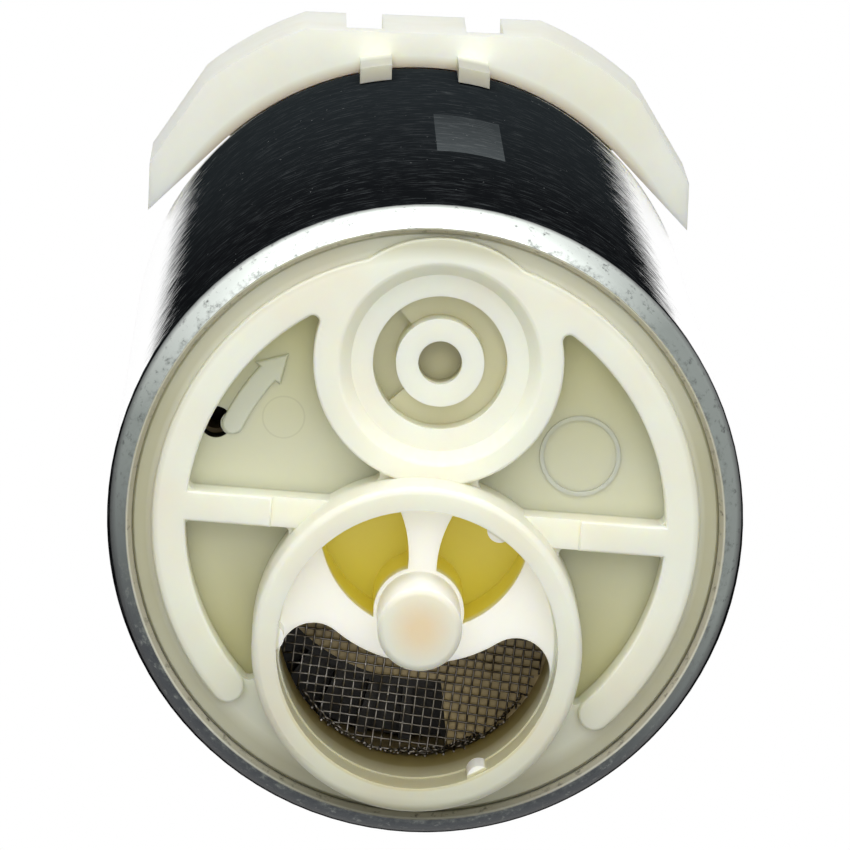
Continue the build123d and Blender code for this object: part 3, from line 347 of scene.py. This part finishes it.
        # Painted light: the web between the openings, the spoke and the pin are painted whiter and glow a little; the
        # pin's end is tan.
        past_rim = add(tree, "MapRange", {"From Min": -0.0022, "From Max": -0.0024}, Value=axes["Z"])
        short_of_end = add(tree, "MapRange", {"From Min": -0.0084, "From Max": -0.0082}, Value=axes["Z"])
        painted_full_light = add(tree, "MapRange", {"From Min": inlet_bore, "From Max": inlet_bore - 0.0001}, Value=from_boss)
        painted_full_light = add(tree, "Math", {"operation": "MULTIPLY"}, i0=painted_full_light, i1=past_rim)
        painted_full_light = add(tree, "Math", {"operation": "MULTIPLY"}, i0=painted_full_light, i1=short_of_end)
        colour = add(tree, "Mix", {"data_type": "RGBA", 7: linear("#FFFEF4")}, i0=painted_full_light, i6=colour).outputs[2]
        pin_end_tan = add(tree, "VectorMath", {"operation": "DISTANCE", 1: pin_end}, i0=place).outputs["Value"]
        pin_end_tan = add(tree, "MapRange", {"From Min": 0.0019, "From Max": 0.0005}, Value=pin_end_tan)
        colour = add(tree, "Mix", {"data_type": "RGBA", 7: linear("#EFDDB8")}, i0=pin_end_tan, i6=colour).outputs[2]
        # Painted light: the two closed cores are painted yellow and glow, in place of the light that comes through
        # their walls.
        inner = add(tree, "MapRange", {"From Min": 0.00645, "From Max": 0.00633}, Value=radius)
        depth = add(tree, "MapRange", {"From Min": -0.0024, "From Max": -0.0008}, Value=axes["Z"])
        cores_painted_glow = add(tree, "Math", {"operation": "MULTIPLY"}, i0=inner, i1=in_cup)
        cores_painted_glow = add(tree, "Math", {"operation": "MULTIPLY"}, i0=cores_painted_glow, i1=depth)
        colour = add(tree, "Mix", {"data_type": "RGBA", 7: linear("#ECE14E")}, i0=cores_painted_glow, i6=colour).outputs[2]
        painted_glow_colour = add(tree, "Mix", {"data_type": "RGBA", 6: linear("#FFFBE6"), 7: linear("#C4B556")}, i0=cores_painted_glow)
        tree.links.new(painted_glow_colour.outputs[2], shader.inputs["Emission Color"])
        # Painted glow: faint on the web, the spoke and the pin, stronger in the cores.
        web_painted_glow = add(tree, "MapRange", {"From Min": -0.0028, "From Max": -0.0026}, Value=axes["Z"])
        web_painted_glow = add(tree, "Math", {"operation": "MULTIPLY"}, i0=web_painted_glow, i1=painted_full_light)
        painted_glow = add(tree, "Math", {"operation": "MULTIPLY_ADD", 1: 0.4}, i0=painted_full_light, i2=cores_painted_glow)
        painted_glow = add(tree, "Math", {"operation": "ADD"}, i0=painted_glow, i1=web_painted_glow)
        painted_glow = add(tree, "Math", {"operation": "MULTIPLY", 1: 0.12}, i0=painted_glow)
        tree.links.new(painted_glow.outputs[0], shader.inputs["Emission Strength"])
    else:
        # Painted shade: tan where the wing meets the shell, and darker legs.
        flat = add(tree, "VectorMath", {"operation": "MULTIPLY", 1: (1, 1, 0)}, i0=place)
        radius = add(tree, "VectorMath", {"operation": "LENGTH"}, i0=flat).outputs["Value"]
        height = add(tree, "SeparateXYZ", i0=place).outputs["Z"]
        contact_painted_shade = add(tree, "MapRange", {"From Min": 0.0199, "From Max": 0.0191, "To Max": 0.75}, Value=radius)
        outside = add(tree, "MapRange", {"From Min": 0.0186, "From Max": 0.0189}, Value=radius)
        front = add(tree, "MapRange", {"From Min": 0.0760, "From Max": 0.0740}, Value=height)
        contact_painted_shade = add(tree, "Math", {"operation": "MULTIPLY"}, i0=contact_painted_shade, i1=outside)
        contact_painted_shade = add(tree, "Math", {"operation": "MULTIPLY"}, i0=contact_painted_shade, i1=front)
        colour = add(tree, "Mix", {"data_type": "RGBA", 7: linear("#B79B74")}, i0=contact_painted_shade, i6=colour).outputs[2]
        legs_painted_shade = add(tree, "MapRange", {"From Min": 0.0716, "From Max": 0.0690, "To Max": 0.8}, Value=height)
        colour = add(tree, "Mix", {"data_type": "RGBA", 7: linear("#B5B3A4")}, i0=legs_painted_shade, i6=colour).outputs[2]
    tree.links.new(colour, shader.inputs["Base Color"])
    grain = add(tree, "TexNoise", {"Scale": 3300.0, "Detail": 4.0}, Vector=place)
    bump = add(tree, "Bump", {"Strength": 0.12, "Distance": 0.00004}, Height=grain)
    tree.links.new(bump.outputs[0], shader.inputs["Normal"])
    roughness = add(tree, "MapRange", {"To Min": 0.34, "To Max": 0.48}, Value=stain)
    tree.links.new(roughness.outputs[0], shader.inputs["Roughness"])
    return material


cover_acetal = acetal("natural_acetal_cored", True, "#EFF1E2", "#EFEAD8")
shape = cad_copy("inlet_cover")
mould_edges(shape, rim_z - level, rim_z + level, edge_radius)
cover = put(shape, "inlet_cover_moulding", "housing", cover_acetal)
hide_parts("inlet_cover")


# Cast marks in the cover's upper pockets: the raised arrow that shows the impeller's direction, with its round tail
# beside the vent, and a thin raised ring. They are part of the moulding.
mark_height = 0.00022
mark_edge = 0.00018
rooted = 0.0001
arrow_radius = 0.0128
arrow_half = 0.00065
head_half = 0.00105
shape = bmesh.new()
outline = []
steps = 14
start, end, tip = (math.radians(a) for a in (201.8, 218.2, 226.1))
for n in range(steps + 1):
    angle = start + (end - start) * n / steps
    outline.append((arrow_radius + arrow_half, angle))
outline += [(arrow_radius + head_half, end), (arrow_radius, tip), (arrow_radius - head_half, end)]
for n in range(steps + 1):
    angle = end + (start - end) * n / steps
    outline.append((arrow_radius - arrow_half, angle))
tail_steps = 8
for n in range(1, tail_steps):
    turn = math.pi * n / tail_steps
    spread = arrow_half * math.cos(turn)
    outline.append((arrow_radius - spread, start - arrow_half * math.sin(turn) / arrow_radius))
verts = [shape.verts.new((r * math.cos(a), r * math.sin(a), pocket_floor + rooted)) for r, a in outline]
face = shape.faces.new(verts)
raised = bmesh.ops.extrude_face_region(shape, geom=[face])
tops = [v for v in raised["geom"] if isinstance(v, bmesh.types.BMVert)]
bmesh.ops.translate(shape, verts=tops, vec=(0, 0, -mark_height - rooted))
bmesh.ops.recalc_face_normals(shape, faces=shape.faces)
mould_edges(shape, pocket_floor - mark_height - level, pocket_floor - mark_height + level, mark_edge)
put(shape, "direction_arrow", "housing", cover_acetal)

ring_place = (0.00895, -0.0044)
ring_radius = 0.0023
shape = bmesh.new()
section = [shape.verts.new((ring_radius + dx, 0, pocket_floor + dz)) for dx, dz in
           ((-0.00015, 0.0001), (-0.00012, -0.00012), (0.00012, -0.00012), (0.00015, 0.0001))]
edges = [shape.edges.new((section[n], section[(n + 1) % 4])) for n in range(4)]
bmesh.ops.spin(shape, geom=edges, cent=(0, 0, 0), axis=(0, 0, 1), angle=2 * math.pi, steps=48, use_merge=True)
bmesh.ops.recalc_face_normals(shape, faces=shape.faces)
bmesh.ops.translate(shape, verts=shape.verts, vec=(*ring_place, 0))
put(shape, "cast_ring", "housing", cover_acetal)


# Inlet screen: a crescent of plain-woven stainless wire cloth, 0.55 mm pitch, pressed against the inlet plate. It is
# a little dished and turned, and its cut wire ends stand up against the wall of the cup.
pitch = 0.00055
wire = 0.000062
weave = 0.00006
screen_z = 0.00438
screen_turn = math.radians(3.5)
edge_gap = 0.0001
frayed_from_y = 0.011
bulge = 0.00012
curl_from_y = 0.009
curl_width = 0.0008
curl_rise = 0.0006
# The opening lies outside the web's circle about the pump axis and inside the bore's about the boss, and a rounded
# corner joins the two on each side.
web_radius = 0.00825
corner = 0.00205
corner_y = ((web_radius + corner) ** 2 - (inlet_bore - corner) ** 2 + boss_y ** 2) / (2 * boss_y)
corner_x = math.sqrt((web_radius + corner) ** 2 - corner_y ** 2)
web_end = (corner_x * web_radius / (web_radius + corner), corner_y * web_radius / (web_radius + corner))
bore_end = (corner_x * inlet_bore / (inlet_bore - corner),
            boss_y + (corner_y - boss_y) * inlet_bore / (inlet_bore - corner))


def in_inlet(x, y, gap):
    """Whether a point is in the crescent, a gap inside its edge."""
    if math.hypot(x, y - boss_y) > inlet_bore - gap or math.hypot(x, y) < web_radius + gap:
        return False
    past = (y - web_end[1]) * (bore_end[0] - web_end[0]) > (abs(x) - web_end[0]) * (bore_end[1] - web_end[1])
    return past or math.hypot(abs(x) - corner_x, y - corner_y) < corner - gap


def dish(x, y):
    """How far the cloth bulges towards the inlet, and curls up along the bore."""
    curl = max(0.0, math.hypot(x, y - boss_y) - inlet_bore + curl_width) / curl_width if y > curl_from_y else 0.0
    return -bulge * (1 + math.sin(x * 700 + 1.0) * math.cos(y * 900)) - curl_rise * curl ** 2


def lay(points):
    """A wire through the points."""
    spline = wires.splines.new("NURBS")
    spline.points.add(len(points) - 1)
    for point, co in zip(spline.points, points):
        point.co = (*co, 1)
    spline.order_u = 3
    spline.use_endpoint_u = True


wires = bpy.data.curves.new("inlet_screen_wires", "CURVE")
wires.dimensions = "3D"
wires.bevel_depth = wire
wires.bevel_resolution = 1
wires.resolution_u = 2
wires.use_fill_caps = True
draw = random.Random(4)
for across in (True, False):
    for n in range(-18, 42):
        run = []
        for k in range(-80, 170):
            u, v = k * pitch / 2, n * pitch + 0.00004 * math.sin(k * 0.11 + n * 0.8)
            a, b = (u, v) if across else (v, u)
            x = a * math.cos(screen_turn) - b * math.sin(screen_turn)
            y = a * math.sin(screen_turn) + b * math.cos(screen_turn)
            side = 1 if across else -1
            wave = side * weave * math.sin(math.pi * (k / 2 + n + 0.5)) if k % 2 == 0 else 0
            if in_inlet(x, y, edge_gap):
                run.append((x, y, screen_z + wave + dish(x, y)))
            elif run:
                if not across and y > frayed_from_y:
                    lift = draw.uniform(0.0002, 0.0009)
                    x0, y0, z0 = run[-1]
                    run += [(x0, y0 + 0.00004, z0 - lift / 2),
                            (x0 + draw.uniform(-1, 1) * 0.0001, y0 + 0.00002, z0 - lift)]
                if len(run) > 2:
                    lay(run)
                run = []
# Loose strands of the cut edge, pushed up along the lower side of the bore.
for strand in range(16):
    first, reach = draw.uniform(28, 125), draw.uniform(12, 30)
    inset, rise = draw.uniform(0.00012, 0.00045), draw.uniform(0.0001, 0.0006)
    run = []
    for k in range(30):
        angle = math.radians(first + reach * k / 29)
        away = inlet_bore - inset - 0.00005 * math.sin(k * 1.3 + strand)
        run.append((away * math.cos(angle), boss_y + away * math.sin(angle),
                    screen_z - rise + 0.0001 * math.sin(k * 0.9 + 2 * strand)))
    lay(run)
holder = bpy.data.objects.new("inlet_screen_wires", wires)
bpy.context.scene.collection.objects.link(holder)
bpy.context.view_layer.update()
mesh = bpy.data.meshes.new_from_object(holder.evaluated_get(bpy.context.evaluated_depsgraph_get()))
bpy.data.objects.remove(holder)
shape = bmesh.new()
shape.from_mesh(mesh)
# Drawn stainless wire: grey and half bright, browned by fuel varnish in spots of 1.4 mm, and darker towards +X.
stainless, tree, shader = new_material("woven_stainless_wire", Metallic=1.0, Roughness=0.36)
place = add(tree, "TexCoord").outputs["Object"]
varnish_and_darkening = add(tree, "TexNoise", {"Scale": 700.0, "Detail": 3.0}, Vector=place)
varnish_and_darkening = add(tree, "MapRange", {"From Min": 0.4, "From Max": 0.7}, Value=varnish_and_darkening)
axes = add(tree, "SeparateXYZ", i0=place).outputs
darker_towards_plus_x = add(tree, "MapRange", {"From Min": -0.005, "From Max": 0.003, "To Max": 0.7}, Value=axes["X"])
varnish_and_darkening = add(tree, "Math", {"operation": "MAXIMUM"}, i0=varnish_and_darkening, i1=darker_towards_plus_x)
colour = add(tree, "Mix", {"data_type": "RGBA", 6: linear("#8F8B86"), 7: linear("#3F3728")}, i0=varnish_and_darkening)
tree.links.new(colour.outputs[2], shader.inputs["Base Color"])
screen = put(shape, "inlet_screen_cloth", "housing", stainless, 60)
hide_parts("inlet_screen")


# Outlet cover: the second acetal moulding, with the saddle wing that stands out over the shell and, on the far side,
# the barbed nozzle and the connector socket.
outer_acetal = acetal("natural_acetal_moulded", False, "#FCFEEC", "#F7F5E0")
shape = cad_copy("outlet_cover")
outlet = put(shape, "outlet_cover_moulding", "housing", outer_acetal)
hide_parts("outlet_cover")


# Inner pieces: plates, motor and valves keep their exact shapes and get their own materials. They are pressed, wound
# or screwed inside the tube and the outlet cover, so little of them shows.
def dress(nodes, material):
    """Gives CAD nodes a material in place of their own."""
    for name in nodes:
        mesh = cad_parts[name].data
        mesh.materials.clear()
        mesh.materials.append(material)


def plain(name, low, high, grain_mm, bump_mm, **sockets):
    """Material mottled between two colours, with a grain of a given size."""
    material, tree, shader = new_material(name, **sockets)
    place = add(tree, "TexCoord").outputs["Object"]
    mottle = add(tree, "TexNoise", {"Scale": 1000 / grain_mm, "Detail": 5.0, "Roughness": 0.6}, Vector=place)
    spread = add(tree, "MapRange", {"From Min": 0.3, "From Max": 0.7}, Value=mottle)
    colour = add(tree, "Mix", {"data_type": "RGBA", 6: linear(low), 7: linear(high)}, i0=spread)
    tree.links.new(colour.outputs[2], shader.inputs["Base Color"])
    bump = add(tree, "Bump", {"Strength": 0.4, "Distance": bump_mm / 1000}, Height=mottle)
    tree.links.new(bump.outputs[0], shader.inputs["Normal"])
    return material


# Glass-filled PPS, moulded: dull tan, faintly mottled.
dress(["inlet_plate", "pump_body"], plain("tan_pps", "#9A875A", "#B19B6B", 2.0, 0.02, Roughness=0.45))
# Filled phenolic, moulded and ground: brown-black and half dull.
dress(["impeller"], plain("phenolic_impeller", "#15130F", "#231E17", 0.6, 0.02, Roughness=0.5))
# Alumina, ground: smooth off-white.
dress(["thrust_button"], plain("ground_ceramic", "#D9D6CC", "#E8E5DC", 0.8, 0.004, Roughness=0.3))
# Moulded rubber: near-black and dull.
dress(["pump_body_seal", "outlet_cover_seal"],
      plain("fuel_proof_rubber", "#141414", "#1E1D1C", 0.5, 0.01, Roughness=0.6))
# Bronze powder, sintered: porous, so its brown is broken by fine dark grain.
dress(["lower_bushing", "upper_bushing"],
      plain("sintered_bronze", "#8A6136", "#B08550", 0.15, 0.02, Roughness=0.45, Metallic=1.0))
# Vulcanised fibre, punched from sheet: dull dark green.
dress(["lower_thrust_washer", "upper_thrust_washer", "lower_end_insulator", "upper_end_insulator"],
      plain("vulcanised_fibre", "#2C4A34", "#3B6147", 0.7, 0.01, Roughness=0.6))
# Ferrite, sintered: charcoal with a dry grain.
dress(["magnet_left", "magnet_right", "choke_core_plus", "choke_core_minus"],
      plain("sintered_ferrite", "#1B1C1E", "#2B2C2E", 0.3, 0.02, Roughness=0.55))
# Spring wire, drawn: even bright grey.
dress(["magnet_clip_front", "magnet_clip_rear", "check_valve_spring", "relief_valve_spring", "brush_spring_plus",
       "brush_spring_minus"],
      plain("spring_steel_wire", "#77797B", "#9C9EA0", 0.4, 0.004, Roughness=0.32, Metallic=1.0))
# Hardened steel, ground: the brightest grey here, almost without grain.
dress(["shaft", "relief_valve_ball"],
      plain("ground_steel", "#A7A9AC", "#C3C5C7", 0.2, 0.002, Roughness=0.22, Metallic=1.0))
# Electrical sheet, punched and stacked: darker and duller steel.
dress(["lamination_stack"],
      plain("stacked_steel_sheet", "#5E6164", "#7E8184", 0.5, 0.01, Roughness=0.4, Metallic=1.0))
# Copper wire under lacquer: deep orange-brown and glossy.
dress(["armature_windings", "choke_coil_plus", "choke_coil_minus"],
      plain("lacquered_copper_wire", "#8E3F1B", "#B8622F", 0.5, 0.03, Roughness=0.28, Metallic=1.0))
# Bare copper, turned: lighter and pinker than the wire.
dress(["commutator_segments", "brush_lead_plus", "brush_lead_minus"],
      plain("turned_copper", "#B0683F", "#CC8A5C", 0.4, 0.006, Roughness=0.3, Metallic=1.0))
# Phenolic, moulded: dark brown and half dull.
dress(["commutator_hub"], plain("brown_phenolic", "#3A2113", "#4B2C1A", 0.6, 0.01, Roughness=0.45))
# Carbon, pressed: black with a fine dull grain.
dress(["brush_plus", "brush_minus"], plain("pressed_carbon", "#191919", "#2A2A2A", 0.2, 0.01, Roughness=0.5))
# Brass, stamped: yellow and smooth.
dress(["brush_cap_plus", "brush_cap_minus", "check_valve_seat", "relief_valve_plug"],
      plain("stamped_brass", "#B08D4A", "#C9A868", 0.6, 0.005, Roughness=0.3, Metallic=1.0))
# Brass under tin plate: pale silver.
dress(["terminal_plus", "terminal_minus"],
      plain("tinned_brass", "#B9B8B0", "#D0CFC7", 0.5, 0.004, Roughness=0.28, Metallic=1.0))
# The check valve's mouldings are of the outlet cover's acetal.
dress(["check_valve_poppet", "check_valve_guide"], outer_acetal)
